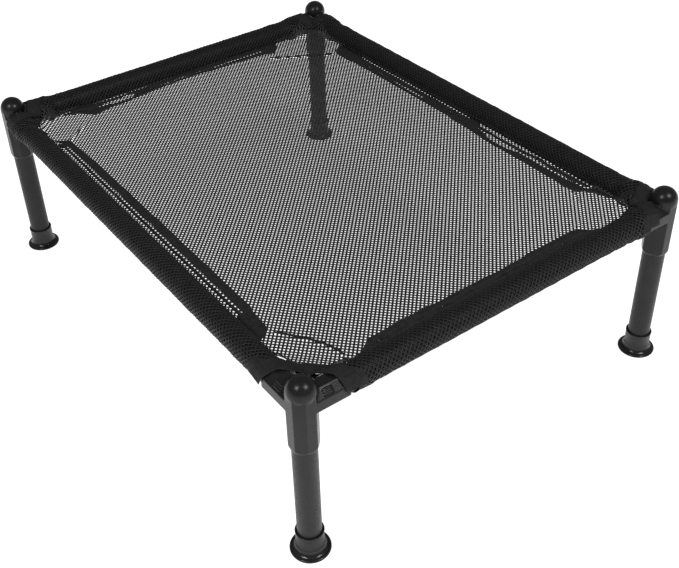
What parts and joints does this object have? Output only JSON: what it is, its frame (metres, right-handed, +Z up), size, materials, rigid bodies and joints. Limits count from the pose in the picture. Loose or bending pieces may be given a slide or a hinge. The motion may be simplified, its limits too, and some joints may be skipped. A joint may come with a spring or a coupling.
{
  "type": "raised mesh dog bed",
  "caption": "Raised rectangular dog bed: round legs with flared feet, ball-topped corner connectors, tube rails and a stretched open-mesh sling with sleeves, hems and bound corner cut-outs.",
  "frame": {"origin": "on the floor under the centre of the frame", "axes": "+Z up; the long sides run along Y, the short sides along X; front is -Y and left is -X"},
  "size_m": [0.458, 0.61, 0.2006],
  "materials": {
    "connector_plastic": "moulded, fine satin grain",
    "leg_paint": "satin powder coat",
    "rail_paint": "satin powder coat",
    "foot_plastic": "satin collar, glossy flange",
    "sleeve_mesh": "open coated mesh, folded over the rail",
    "hem_mesh": "two layers of open mesh, sewn",
    "binding_tape": "woven tape",
    "panel_mesh": "open coated mesh, one layer"
  },
  "bodies": {
    "frame": {"connector_front_left": "connector_plastic", "connector_front_right": "connector_plastic", "connector_back_left": "connector_plastic", "connector_back_right": "connector_plastic", "rail_front": "rail_paint", "rail_back": "rail_paint", "rail_left": "rail_paint", "rail_right": "rail_paint", "sleeve_front": "sleeve_mesh", "sleeve_back": "sleeve_mesh", "sleeve_left": "sleeve_mesh", "sleeve_right": "sleeve_mesh", "hem_front": "hem_mesh", "hem_back": "hem_mesh", "hem_left": "hem_mesh", "hem_right": "hem_mesh", "tape_front_left": "binding_tape", "tape_front_right": "binding_tape", "tape_back_left": "binding_tape", "tape_back_right": "binding_tape", "mesh_panel": "panel_mesh"},
    "front_left_leg": {"leg_front_left": "leg_paint", "foot_front_left": "foot_plastic"},
    "front_right_leg": {"leg_front_right": "leg_paint", "foot_front_right": "foot_plastic"},
    "back_left_leg": {"leg_back_left": "leg_paint", "foot_back_left": "foot_plastic"},
    "back_right_leg": {"leg_back_right": "leg_paint", "foot_back_right": "foot_plastic"}
  },
  "joints": [
    {"name": "front_left_leg_pull", "type": "slide", "parent": "frame", "child": "front_left_leg", "axis": [0, 0, -1], "range_m": [0, 0.0335]},
    {"name": "front_right_leg_pull", "type": "slide", "parent": "frame", "child": "front_right_leg", "axis": [0, 0, -1], "range_m": [0, 0.0335]},
    {"name": "back_left_leg_pull", "type": "slide", "parent": "frame", "child": "back_left_leg", "axis": [0, 0, -1], "range_m": [0, 0.0335]},
    {"name": "back_right_leg_pull", "type": "slide", "parent": "frame", "child": "back_right_leg", "axis": [0, 0, -1], "range_m": [0, 0.0335]}
  ]
}
